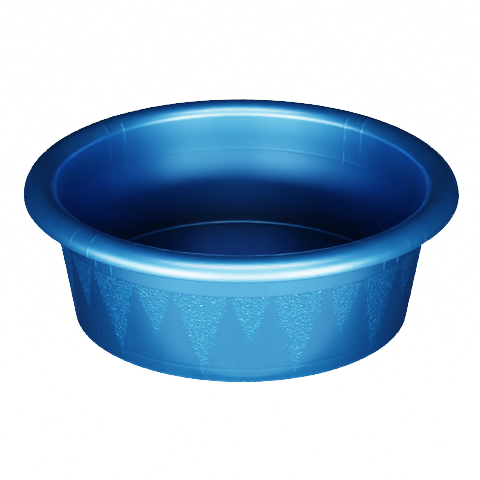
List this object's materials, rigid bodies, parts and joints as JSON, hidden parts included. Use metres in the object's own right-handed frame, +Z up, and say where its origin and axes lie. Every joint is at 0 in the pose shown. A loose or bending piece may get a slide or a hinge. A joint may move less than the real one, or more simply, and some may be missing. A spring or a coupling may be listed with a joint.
{
  "type": "mixing tub",
  "caption": "Round one-piece plastic tub with a drafted wall, rolled brim, plain collar and raised floor, for mixing and carrying small batches by hand.",
  "frame": {"origin": "on the tub's axis, level with the face it stands on", "axes": "+Z up along the tub's axis, towards the open mouth; -Y is the front"},
  "size_m": [0.3999, 0.4, 0.1354],
  "materials": {
    "tub": "blue pearlescent polypropylene, smooth moulded gloss with stippled icicle-shaped areas on the outer wall"
  },
  "bodies": {
    "root": {"tub": "tub"}
  },
  "joints": []
}
